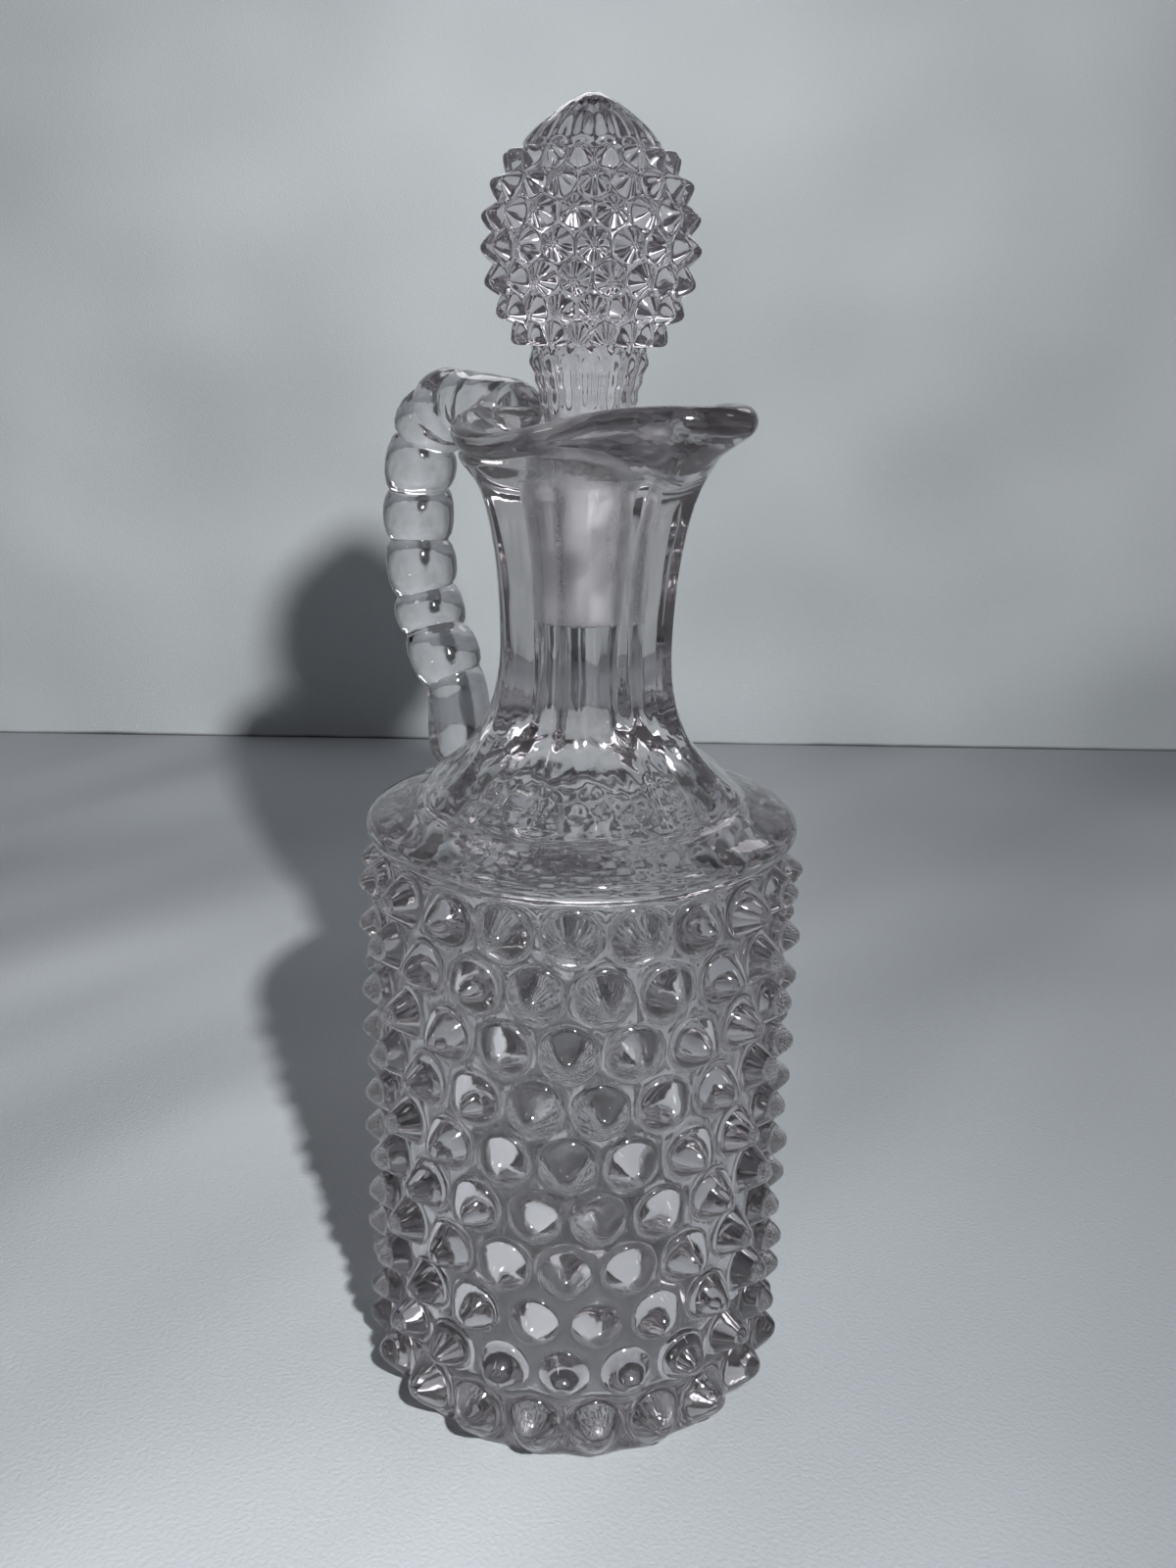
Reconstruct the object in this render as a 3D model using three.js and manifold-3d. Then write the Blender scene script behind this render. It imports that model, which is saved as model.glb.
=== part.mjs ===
// A pressed glass cruet: a hobnail bottle with a panelled neck and a pouring lip, an applied
// ringed handle, and a ground stopper with a hobnail knop.
// Lengths are in millimetres and +Z is up. The origin is on the bottle's axis at its underside.
// The lip pours towards +X and the handle stands at -X.

import * as THREE from "three";
import { mergeVertices } from "three/addons/utils/BufferGeometryUtils.js";
import Module from "manifold-3d";

const wasm = await Module();
wasm.setup();

// Clearances
const BORE_CLEARANCE = 0.3; // all round the peg in the ground bore
const PEG_END_CLEARANCE = 0.4; // from the end of the peg down to the end of the ground bore
const SEAT_CLEARANCE = 0.35; // between the applied handle and the glass that it lies on

// Body of the bottle
const WALL_RADIUS = 28.2; // outside of the wall, in the valleys between the hobnails
const WALL_THICKNESS = 5;
const FLOOR_THICKNESS = 9;
const FLOOR_ROUND = 7; // radius of the corner between the floor and the wall, inside
const BODY_HEIGHT = 86.9; // from the underside to the seam below the shoulder ring
const FOOT_BEVEL = 1.6;

// Hobnails of the body, in staggered rows that touch one another
const HOBNAIL_WIDTH = 8.86; // between the middles of two neighbours in a row
const HOBNAIL_HEIGHT = 4.2;
const ROW_PITCH = 8.3;
const FOOT_ROW_HEIGHT = 6.9; // from the underside to the middles of the lowest row

// Shape of every hobnail
const BLUNT_ACROSS = 0.34; // where a flank turns into the blunt tip, as shares of width and height
const BLUNT_UP = 0.76;
const STAGGER = 0.14; // how far the valley between two rows zigzags, as a share of the row pitch

// Shoulder ring
const SHOULDER_OVERHANG = 2.9;
const SHOULDER_DROP = 1.8; // from the widest point of the ring down to the seam
const SHOULDER_RISE = 4.5; // from the widest point of the ring up to the foot of the neck
const SHOULDER_WIDTH = 8.1; // from the widest point in to the foot of the neck

// Neck, measured over the corners of its panels
const PANEL_COUNT = 8;
const WAIST_RADIUS = 12.4;
const WAIST_RISE = 19.8; // from the foot of the neck up to the waist
const NECK_TOP_RISE = 26.5; // from the waist up to the root of the lip
const NECK_TOP_RADIUS = 17.3;
const LOWER_FLARE = 2.35; // powers of the curves that flare away from the waist
const UPPER_FLARE = 2.8;
const PANEL_FADE = 1.6; // length over which the panels die out at both ends

// Lip and spout
const RIM_RADIUS = 18.6; // outside of the rim at the sides and the back
const SPOUT_RADIUS = 25.7; // outside of the rim at the tip of the spout
const SPOUT_SPREAD = 26; // width of the spout, in degrees round the axis
const RIM_THICKNESS = 3.3;
const SPOUT_THICKNESS = 4.6;
const SPOUT_RISE = 8.2; // from the root of the lip to the top of the rim, at the spout
const SIDE_RISE = 4.2;
const BACK_RISE = 6.4;
const SIDE_ANGLE = 100; // where the rim is lowest, in degrees from the spout
const SIDE_DIP = 1.6; // power of the curve from the spout down to there

// Inside of the neck
const MOUTH_RADIUS = 5.6; // top of the ground bore
const BORE_RADIUS = 4.4; // bottom of the ground bore, and the throat below it
const MOUTH_DROP = 0.8; // from the root of the lip down to the top of the ground bore
const BORE_LENGTH = 23.3;
const THROAT_LENGTH = 12;
const CAVITY_TAPER = 24; // height over which the cavity narrows to the throat
const TAPER_FLARE = 0.8; // power of that curve

// Stopper
const PEG_CHAMFER = 0.8;
const SHANK_PLAIN = 8; // plain length above the peg
const SHANK_RADIUS = 6; // where the flutes begin
const SHANK_FLUTED = 6.8;
const SHANK_TOP_RADIUS = 8.1;
const FLUTE_DEPTH = 0.5;
const KNOP_RADIUS = 12.3; // in the valleys between the hobnails
const KNOP_RISE = 13.9; // from the top of the shank up to the widest part of the knop
const KNOP_BELOW = 15.4; // half heights of the egg shape, below and above its widest part
const KNOP_ABOVE = 13.9;
const KNOP_COLUMNS = 18;
const KNOP_ROWS = 7;
const KNOP_ROW_ANGLE = 14.2; // from row to row up the egg shape, in degrees
const KNOP_LOW_ANGLE = -46; // lowest row
const KNOP_HOBNAIL_HEIGHT = 2;
const CAP_RADIUS = 8.4;
const CAP_HEIGHT = 6;
const CAP_SINK = 2.4; // from the top of the egg shape down to the rim of the cap

// Handle, measured along the middle of the glass
const HANDLE_REACH = 32.2; // from the bottle's axis to the middle of the grip
const HANDLE_RISE = 0.1; // how far the top of the arch stands above the back of the rim
const GRIP_RADIUS = 5.4;
const RING_PITCH = 6.5; // the grip is a stack of barrel-shaped rings
const RING_GROOVE = 0.9; // depth of the sharp valleys between the rings
const RING_BARREL = 3; // power of a ring's curve, flat in its middle and steep at the valleys
const TAIL_LENGTH = 13.2; // plain end below the rings, pressed on the foot of the neck
const TAIL_RADIUS = 4.6;
const OVERHANG_LENGTH = 8.7; // plain end above the rings, over the rim
const GATHER_LENGTH = 14; // lump of glass pressed over the rim, at the upper end
const GATHER_WIDTH = 13;
const GATHER_HEIGHT = 10;
const GATHER_SLOPE = 14; // the lump leans down towards the outside, in degrees

// Profiles as pairs of shares
const SHOULDER_PROFILE = [[0.9, 0.2], [0.68, 0.45], [0.38, 0.72]]; // of its width and rise
const LIP_ROOT_SHARES = [0.4, 0.55]; // of the way out and up from the neck to the lip
const FUNNEL_PROFILE = [[0.3, 0.42], [0.68, 0.84]]; // of the way in and down from rim to bore
const CAP_PROFILE = [[1, 0], [1, 0.12], [0.9, 0.27], [0.62, 0.55], [0.33, 0.8], [0.1, 0.97]];
const TAIL_PROFILE = [[0, 0.7], [0.1, 0.95], [0.5, 1]]; // of its length and radius
const LOWER_ARM = [ // of the way out from the neck's foot to the grip, and up to the arch
  [-0.08, 0.006], [0.065, 0.1], [0.1, 0.186], [0.34, 0.266], [0.6, 0.345], [0.79, 0.427], [0.967, 0.565],
];
const UPPER_ARM = [ // of the way out from the rim to the grip, and up to the arch
  [1, 0.716], [0.91, 0.86], [0.72, 0.96], [0.375, 1], [0.074, 0.99], [-0.265, 0.96],
];

// Stations along the skin
const NECK_LOWER_SHARES = [0, 0.04, 0.08, 0.18, 0.3, 0.45, 0.65];
const NECK_UPPER_SHARES = [0, 0.3, 0.5, 0.68, 0.82, 0.94, 1];
const TAPER_SHARES = [0.95, 0.85, 0.7, 0.5, 0.27, 0];
const RING_SHARES = [0, 0.14, 0.34, 0.66, 0.86];
const LIP_ANGLES = [-75, -30, 15, 60, 105, 150]; // round the bead of the lip, 0 outermost and 90 on top
const HANDLE_SEGMENTS = 14;
const GATHER_BANDS = 10;

// Counts, heights and radii that follow from the sizes above
const turn = 2 * Math.PI;
const columnCount = Math.round((turn * WALL_RADIUS) / HOBNAIL_WIDTH);
const rowCount = 1 + Math.floor((BODY_HEIGHT - FOOT_ROW_HEIGHT - ROW_PITCH / 2) / ROW_PITCH);
const shoulderHeight = BODY_HEIGHT + SHOULDER_DROP;
const neckFootHeight = shoulderHeight + SHOULDER_RISE;
const neckFootRadius = WALL_RADIUS + SHOULDER_OVERHANG - SHOULDER_WIDTH;
const waistHeight = neckFootHeight + WAIST_RISE;
const lipRootHeight = waistHeight + NECK_TOP_RISE;
const mouthHeight = lipRootHeight - MOUTH_DROP;
const boreFootHeight = mouthHeight - BORE_LENGTH;
const throatFootHeight = boreFootHeight - THROAT_LENGTH;
const cavityRadius = WALL_RADIUS - WALL_THICKNESS;
const shankTopHeight = mouthHeight + SHANK_PLAIN + SHANK_FLUTED;
const knopHeight = shankTopHeight + KNOP_RISE;

const { lerp, degToRad, radToDeg, smoothstep } = THREE.MathUtils;

// A closed skin of triangles, sewn from rings that all have the same number of points.
class Skin {
  constructor(segments) {
    this.segments = segments;
    this.points = [];
    this.faces = [];
  }

  addPoint(point) {
    this.points.push(point.x, point.y, point.z);
    return this.points.length / 3 - 1;
  }

  // pointAt gives the point at a position round the ring, counted in segments.
  addRing(pointAt, shift = 0) {
    const ids = Array.from({ length: this.segments }, (_, i) => this.addPoint(pointAt(i + shift)));
    return { ids, shift };
  }

  // Rings run anticlockwise as seen from the later ring.
  join(lower, upper) {
    const back = lower.shift > upper.shift;
    for (let i = 0; i < this.segments; i++) {
      const next = (i + 1) % this.segments;
      const [a, b, c, d] = [lower.ids[i], lower.ids[next], upper.ids[i], upper.ids[next]];
      this.faces.push(...(back ? [a, d, c, a, b, d] : [a, b, c, c, b, d]));
    }
  }

  // Sews one ring after another onto the given one, and returns the last.
  grow(from, pointFunctions, shift = 0) {
    return pointFunctions.reduce((lower, pointAt) => {
      const upper = this.addRing(pointAt, shift);
      this.join(lower, upper);
      return upper;
    }, from);
  }

  startAt(centre, ring) {
    const pole = this.addPoint(centre);
    ring.ids.forEach((id, i) => this.faces.push(pole, ring.ids[(i + 1) % this.segments], id));
  }

  endAt(centre, ring) {
    const pole = this.addPoint(centre);
    ring.ids.forEach((id, i) => this.faces.push(pole, id, ring.ids[(i + 1) % this.segments]));
  }

  geometry() {
    const geometry = new THREE.BufferGeometry();
    geometry.setAttribute("position", new THREE.Float32BufferAttribute(this.points, 3));
    geometry.setIndex(this.faces);
    geometry.computeVertexNormals();
    return geometry;
  }
}

// A skin round the Z axis. A station is a function that gives radius and height at an azimuth.
class TurnedSkin extends Skin {
  pointAt(column, [radius, height]) {
    const azimuth = (turn * column) / this.segments;
    return new THREE.Vector3(radius * Math.cos(azimuth), radius * Math.sin(azimuth), height);
  }

  growStations(from, stations, shift = 0) {
    const rings = stations.map(
      (station) => (column) => this.pointAt(column, station((turn * column) / this.segments)),
    );
    return from ? this.grow(from, rings, shift) : this.grow(this.addRing(rings[0]), rings.slice(1));
  }

  startHeight(height, ring) {
    this.startAt(new THREE.Vector3(0, 0, height), ring);
  }

  endHeight(height, ring) {
    this.endAt(new THREE.Vector3(0, 0, height), ring);
  }

  // Covers the skin between two rings with staggered rows of hobnails, two segments to each.
  // surface gives radius and height for a place on the profile and a lift off it.
  addHobnails(from, to, places, middles, pitch, lift, surface) {
    let lower = { ids: from.ids, places: from.ids.map(() => places[0]) };
    middles.forEach((middle, row) => {
      const odd = (row + 1) % 2;
      let upper = { ids: to.ids, places: to.ids.map(() => places[1]) };
      if (row + 1 < middles.length) {
        const zigzag = to.ids.map((_, i) => middle + pitch * (0.5 + (i % 2 === odd ? STAGGER : -STAGGER)));
        const ids = zigzag.map((place, i) => this.addPoint(this.pointAt(i, surface(place, 0))));
        upper = { ids, places: zigzag };
      }
      for (let column = odd; column < this.segments; column += 2) {
        this.addHobnail(column, middle, lower, upper, lift, surface);
      }
      lower = upper;
    });
  }

  // A six-sided hobnail between two valleys: its flanks, then its blunt tip.
  addHobnail(column, middle, lower, upper, lift, surface) {
    const corner = (side, valley) => {
      const i = (column + side + this.segments) % this.segments;
      return { side, id: valley.ids[i], place: valley.places[i] };
    };
    const corners = [
      ...[-1, 0, 1].map((side) => corner(side, lower)),
      ...[1, 0, -1].map((side) => corner(side, upper)),
    ];
    const tip = this.addPoint(this.pointAt(column, surface(middle, lift)));
    const blunt = corners.map(({ side, place }) => {
      const near = surface(lerp(middle, place, BLUNT_ACROSS), lift * BLUNT_UP);
      return this.addPoint(this.pointAt(column + side * BLUNT_ACROSS, near));
    });
    corners.forEach(({ id }, i) => {
      const next = (i + 1) % corners.length;
      this.faces.push(id, corners[next].id, blunt[i], blunt[i], corners[next].id, blunt[next]);
      this.faces.push(blunt[i], blunt[next], tip);
    });
  }
}

function roundStation(radius, height) {
  return () => [radius, height];
}

// Flat panels between corners that lie on the given radius.
function panelStation(cornerRadius, height, flatness) {
  const half = Math.PI / PANEL_COUNT;
  return (azimuth) => {
    const within = THREE.MathUtils.euclideanModulo(azimuth + half, 2 * half) - half;
    return [cornerRadius * lerp(1, Math.cos(half) / Math.cos(within), flatness), height];
  };
}

// A station at given shares of the way from one station to another.
function stationBetween(from, to, radiusShare, heightShare) {
  return (azimuth) => {
    const [fromRadius, fromHeight] = from(azimuth);
    const [toRadius, toHeight] = to(azimuth);
    return [lerp(fromRadius, toRadius, radiusShare), lerp(fromHeight, toHeight, heightShare)];
  };
}

// Angle between a direction round the axis and the spout, from 0 to 180 degrees.
function spoutAngle(azimuth) {
  return radToDeg(Math.acos(Math.cos(azimuth)));
}

// Height of the top of the rim: high at the spout, low at the sides, higher again at the back.
function rimHeight(azimuth) {
  const angle = spoutAngle(azimuth);
  const inFront = angle < SIDE_ANGLE;
  const share = inFront ? (angle / SIDE_ANGLE) ** SIDE_DIP : (180 - angle) / (180 - SIDE_ANGLE);
  const end = inFront ? SPOUT_RISE : BACK_RISE;
  return lipRootHeight + lerp(SIDE_RISE, end, (1 + Math.cos(Math.PI * share)) / 2);
}

// A place on the bead that ends the lip. swell moves it off the glass.
function beadStation(angle, swell = 0) {
  return (azimuth) => {
    const spout = Math.exp(-((spoutAngle(azimuth) / SPOUT_SPREAD) ** 2));
    const bead = lerp(RIM_THICKNESS, SPOUT_THICKNESS, spout) / 2;
    const outside = lerp(RIM_RADIUS, SPOUT_RADIUS, spout);
    return [
      outside - bead + (bead + swell) * Math.cos(degToRad(angle)),
      rimHeight(azimuth) - bead + (bead + swell) * Math.sin(degToRad(angle)),
    ];
  };
}

// Over the panel corners the neck is narrowest at the waist, and flares to the shoulder and the lip.
function neckStation(height, swell) {
  const below = height < waistHeight;
  const end = below ? neckFootRadius : NECK_TOP_RADIUS;
  const way = below ? (waistHeight - height) / WAIST_RISE : (height - waistHeight) / NECK_TOP_RISE;
  const radius = lerp(WAIST_RADIUS, end, way ** (below ? LOWER_FLARE : UPPER_FLARE));
  const flatness =
    smoothstep(height - neckFootHeight, 0, PANEL_FADE) * smoothstep(lipRootHeight - height, 0, PANEL_FADE);
  return panelStation(radius + swell, height, flatness);
}

function shoulderStations(swell) {
  const underside = [30, 60, 90].map((angle) =>
    roundStation(
      WALL_RADIUS + SHOULDER_OVERHANG * Math.sin(degToRad(angle)) + swell,
      shoulderHeight - SHOULDER_DROP * Math.cos(degToRad(angle)),
    ),
  );
  const top = SHOULDER_PROFILE.map(([across, up]) =>
    roundStation(neckFootRadius + SHOULDER_WIDTH * across + swell, shoulderHeight + SHOULDER_RISE * up),
  );
  return [...underside, ...top];
}

function lipStations(swell) {
  const root = roundStation(NECK_TOP_RADIUS + swell, lipRootHeight);
  const beads = LIP_ANGLES.map((angle) => beadStation(angle, swell));
  return [stationBetween(root, beads[0], ...LIP_ROOT_SHARES), ...beads];
}

function funnelStations(swell) {
  const edge = beadStation(LIP_ANGLES.at(-1), swell);
  const mouth = roundStation(MOUTH_RADIUS, mouthHeight + swell);
  return [...FUNNEL_PROFILE.map(([inward, down]) => stationBetween(edge, mouth, inward, down)), mouth];
}

// Sews the shoulder, the panelled neck, the lip and its funnel onto a ring at the seam.
function growUpperBottle(skin, seam, swell) {
  const shoulder = skin.growStations(seam, shoulderStations(swell));
  const heights = [
    ...NECK_LOWER_SHARES.map((share) => neckFootHeight + WAIST_RISE * share),
    ...NECK_UPPER_SHARES.map((share) => waistHeight + NECK_TOP_RISE * share),
  ];
  const neck = skin.growStations(shoulder, heights.map((height) => neckStation(height, swell)), 0.5);
  return skin.growStations(neck, [...lipStations(swell), ...funnelStations(swell)]);
}

// Ground bore, throat, and the cavity that widens to the wall and rounds into the floor.
function insideStations() {
  const taper = TAPER_SHARES.map((share) => {
    const widening = (1 + Math.cos(Math.PI * share ** TAPER_FLARE)) / 2;
    const height = throatFootHeight - CAVITY_TAPER * (1 - share);
    return roundStation(lerp(BORE_RADIUS, cavityRadius, widening), height);
  });
  const floor = [0, 30, 60, 90].map((angle) =>
    roundStation(
      cavityRadius - FLOOR_ROUND * (1 - Math.cos(degToRad(angle))),
      FLOOR_THICKNESS + FLOOR_ROUND * (1 - Math.sin(degToRad(angle))),
    ),
  );
  const throat = [boreFootHeight, throatFootHeight].map((height) => roundStation(BORE_RADIUS, height));
  return [...throat, ...taper, ...floor];
}

function bottleGeometry() {
  const skin = new TurnedSkin(2 * columnCount);
  const base = skin.growStations(null, [roundStation(WALL_RADIUS - FOOT_BEVEL, 0)]);
  skin.startHeight(0, base);
  const foot = skin.growStations(base, [roundStation(WALL_RADIUS, FOOT_BEVEL)]);
  const seam = skin.growStations(null, [roundStation(WALL_RADIUS, BODY_HEIGHT)]);
  const middles = Array.from({ length: rowCount }, (_, row) => FOOT_ROW_HEIGHT + ROW_PITCH * row);
  const wall = (height, lift) => [WALL_RADIUS + lift, height];
  skin.addHobnails(foot, seam, [FOOT_BEVEL, BODY_HEIGHT], middles, ROW_PITCH, HOBNAIL_HEIGHT, wall);
  const mouth = growUpperBottle(skin, seam, 0);
  skin.endHeight(FLOOR_THICKNESS, skin.growStations(mouth, insideStations()));
  return skin.geometry();
}

// The egg shape of the knop. angle runs from -90 degrees at its bottom to 90 at its top.
function knopSurface(angle, lift) {
  const halfHeight = angle < 0 ? KNOP_BELOW : KNOP_ABOVE;
  const across = Math.cos(degToRad(angle));
  const up = Math.sin(degToRad(angle));
  const normal = new THREE.Vector2(halfHeight * across, KNOP_RADIUS * up).setLength(lift);
  return [KNOP_RADIUS * across + normal.x, knopHeight + halfHeight * up + normal.y];
}

// The peg follows the taper of the ground bore at its clearance.
function pegStations() {
  const foot = boreFootHeight + PEG_END_CLEARANCE;
  const radiusAt = (height) =>
    lerp(BORE_RADIUS, MOUTH_RADIUS, (height - boreFootHeight) / BORE_LENGTH) - BORE_CLEARANCE;
  return [
    roundStation(radiusAt(foot) - PEG_CHAMFER, foot),
    ...[foot + PEG_CHAMFER, mouthHeight].map((height) => roundStation(radiusAt(height), height)),
  ];
}

function shankStations() {
  const fluted = (share, depth) => (azimuth) => [
    lerp(SHANK_RADIUS, SHANK_TOP_RADIUS, share) - (depth * (1 - Math.cos(KNOP_COLUMNS * azimuth))) / 2,
    shankTopHeight - SHANK_FLUTED * (1 - share),
  ];
  return [fluted(0, 0), fluted(0.2, FLUTE_DEPTH), fluted(0.6, FLUTE_DEPTH), fluted(1, FLUTE_DEPTH)];
}

function stopperGeometry() {
  const skin = new TurnedSkin(2 * KNOP_COLUMNS);
  const foot = skin.growStations(null, pegStations().slice(0, 1));
  skin.startHeight(boreFootHeight + PEG_END_CLEARANCE, foot);
  const middles = Array.from({ length: KNOP_ROWS }, (_, row) => KNOP_LOW_ANGLE + KNOP_ROW_ANGLE * row);
  const places = [middles[0] - KNOP_ROW_ANGLE / 2, middles.at(-1) + KNOP_ROW_ANGLE / 2];
  const [low, high] = places.map((angle) => roundStation(...knopSurface(angle, 0)));
  const knopFoot = skin.growStations(foot, [...pegStations().slice(1), ...shankStations(), low]);
  const knopTop = skin.growStations(null, [high]);
  skin.addHobnails(knopFoot, knopTop, places, middles, KNOP_ROW_ANGLE, KNOP_HOBNAIL_HEIGHT, knopSurface);
  const capFoot = knopHeight + KNOP_ABOVE - CAP_SINK;
  const cap = CAP_PROFILE.map(([across, up]) => roundStation(CAP_RADIUS * across, capFoot + CAP_HEIGHT * up));
  skin.endHeight(capFoot + CAP_HEIGHT, skin.growStations(knopTop, cap));
  return skin.geometry();
}

// Middle of the handle's glass in the plane y = 0, from the foot of the neck up and over the rim.
function handleCurve() {
  const archHeight = rimHeight(Math.PI) + HANDLE_RISE;
  const armPoints = (shares, startRadius) =>
    shares.map(
      ([out, up]) =>
        new THREE.Vector3(-lerp(startRadius, HANDLE_REACH, out), 0, lerp(neckFootHeight, archHeight, up)),
    );
  const points = [...armPoints(LOWER_ARM, neckFootRadius), ...armPoints(UPPER_ARM, RIM_RADIUS)];
  return new THREE.CatmullRomCurve3(points, false, "centripetal");
}

// Pairs of a distance along the handle and the radius of the glass there.
function handleRadii(length) {
  const ringed = length - TAIL_LENGTH - OVERHANG_LENGTH;
  const ringCount = Math.round(ringed / RING_PITCH);
  const valley = GRIP_RADIUS - RING_GROOVE;
  const radii = TAIL_PROFILE.map(([along, across]) => [TAIL_LENGTH * along, TAIL_RADIUS * across]);
  for (let ring = 0; ring < ringCount; ring++) {
    for (const share of RING_SHARES) {
      const distance = TAIL_LENGTH + (ringed * (ring + share)) / ringCount;
      radii.push([distance, GRIP_RADIUS - RING_GROOVE * Math.abs(2 * share - 1) ** RING_BARREL]);
    }
  }
  radii.push([TAIL_LENGTH + ringed, valley], [length - valley, GRIP_RADIUS], [length, valley / 2]);
  return radii;
}

function ropeGeometry() {
  const curve = handleCurve();
  const length = curve.getLength();
  const skin = new Skin(HANDLE_SEGMENTS);
  const rings = handleRadii(length).map(([distance, radius]) => {
    const share = Math.min(1, distance / length);
    const middle = curve.getPointAt(share);
    const along = curve.getTangentAt(share);
    const across = new THREE.Vector3(along.z, 0, -along.x);
    return (column) => {
      const angle = (turn * column) / HANDLE_SEGMENTS;
      const point = middle.clone().addScaledVector(across, radius * Math.cos(angle));
      point.y += radius * Math.sin(angle);
      return point;
    };
  });
  const first = skin.addRing(rings[0]);
  skin.startAt(curve.getPointAt(0), first);
  skin.endAt(curve.getPointAt(1), skin.grow(first, rings.slice(1)));
  return skin.geometry();
}

// The lump of glass pressed over the back of the rim.
function gatherGeometry() {
  const lump = new THREE.SphereGeometry(0.5, HANDLE_SEGMENTS, GATHER_BANDS);
  lump.scale(GATHER_LENGTH, GATHER_WIDTH, GATHER_HEIGHT);
  lump.rotateY(-degToRad(GATHER_SLOPE));
  const middle = RIM_THICKNESS / 2;
  return lump.translate(middle - RIM_RADIUS, 0, rimHeight(Math.PI) - middle);
}

// The bottle above its seam, filled up to the ground bore and swollen by the clearance.
function seatGeometry() {
  const skin = new TurnedSkin(2 * columnCount);
  const seam = skin.growStations(null, [roundStation(WALL_RADIUS + SEAT_CLEARANCE, BODY_HEIGHT)]);
  skin.startHeight(BODY_HEIGHT, seam);
  skin.endHeight(mouthHeight + SEAT_CLEARANCE, growUpperBottle(skin, seam, SEAT_CLEARANCE));
  return skin.geometry();
}

function solidOf(geometry) {
  const bare = geometry.clone().deleteAttribute("normal").deleteAttribute("uv");
  const merged = mergeVertices(bare, 1e-4);
  return new wasm.Manifold(
    new wasm.Mesh({
      numProp: 3,
      vertProperties: new Float32Array(merged.getAttribute("position").array),
      triVerts: new Uint32Array(merged.getIndex().array),
    }),
  );
}

function geometryOf(solid) {
  const mesh = solid.getMesh();
  const geometry = new THREE.BufferGeometry();
  geometry.setAttribute("position", new THREE.BufferAttribute(mesh.vertProperties, 3));
  geometry.setIndex(new THREE.BufferAttribute(mesh.triVerts, 1));
  geometry.computeVertexNormals();
  return geometry;
}

function handleGeometry() {
  const glass = solidOf(ropeGeometry()).add(solidOf(gatherGeometry()));
  return geometryOf(glass.subtract(solidOf(seatGeometry())));
}

function glassMesh(name, geometry) {
  const material = new THREE.MeshStandardMaterial({ color: 0xc9c8cf, roughness: 0.05, metalness: 0 });
  const mesh = new THREE.Mesh(geometry, material);
  mesh.name = name;
  return mesh;
}

const cruet = new THREE.Group();
cruet.name = "cruet";
cruet.add(glassMesh("bottle", bottleGeometry()));
cruet.add(glassMesh("handle", handleGeometry()));
cruet.add(glassMesh("stopper", stopperGeometry()));

export default cruet;
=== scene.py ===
"""A pressed glass cruet: hobnail bottle, applied ringed handle and ground stopper.

The sizes in the classes are in millimetres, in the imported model's own frame: +Z is up, the
origin is on the bottle's axis at its underside, the lip pours towards +X and the handle
stands at -X. A mesh is brought to metres when its piece is made.
"""

import logging
import math
from collections.abc import Callable, Sequence
from dataclasses import dataclass
from enum import Enum

import bmesh
import bpy
from bmesh.types import BMEdge, BMesh, BMFace, BMVert
from mathutils import Matrix, Vector


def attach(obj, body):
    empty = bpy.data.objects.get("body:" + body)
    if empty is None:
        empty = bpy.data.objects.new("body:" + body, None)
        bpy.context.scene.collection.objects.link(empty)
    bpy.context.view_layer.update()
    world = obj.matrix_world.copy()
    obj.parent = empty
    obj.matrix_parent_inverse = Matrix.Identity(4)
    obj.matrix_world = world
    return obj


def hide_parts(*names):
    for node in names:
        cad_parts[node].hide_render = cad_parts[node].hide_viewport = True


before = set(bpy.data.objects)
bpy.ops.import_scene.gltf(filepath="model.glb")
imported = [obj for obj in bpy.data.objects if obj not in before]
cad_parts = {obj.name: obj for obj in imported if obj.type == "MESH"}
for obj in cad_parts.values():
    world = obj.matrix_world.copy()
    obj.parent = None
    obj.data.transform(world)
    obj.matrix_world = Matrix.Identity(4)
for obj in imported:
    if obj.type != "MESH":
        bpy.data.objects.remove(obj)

log = logging.getLogger("cruet")

METRES = 0.001
TURN = 2 * math.pi
SIXTH = TURN / 6
PANEL = TURN / 8
VIEW_TURN = math.radians(38.5)
GLASS_BOUNCES = 24
GLOSS_BOUNCES = 12

# Points nearer to each other than these, in millimetres, are one point of the seam.
CELL_WELD = 0.002
WALL_WELD = 0.01
KNOP_WELD = 0.005

# An azimuth nearer to a panel's edge than this, in radians, is on it.
CORNER_ANGLE = 0.01

# The first width of a new ring on a hobnail, before its points go to their places.
INSET = 0.1

Place = tuple[float, float]
Triple = tuple[float, float, float]
Colour = tuple[float, float, float]
Station = Callable[[float], Place]


def lerp(start: float, end: float, share: float) -> float:
    """Return the value at a share of the way from start to end."""
    return start + (end - start) * share


def smoothstep(value: float, low: float, high: float) -> float:
    """Return 0 below low and 1 above high, with a smooth rise between them."""
    share = min(1.0, max(0.0, (value - low) / (high - low)))
    return share * share * (3 - 2 * share)


# Shader nodes


@dataclass(frozen=True)
class Pattern:
    """Noise at a scale in cycles per metre, stretched along the axes, with its share in a sum."""

    scale: float
    stretch: Triple = (1.0, 1.0, 1.0)
    share: float = 1.0
    detail: float = 1.0
    roughness: float = 0.5


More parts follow.
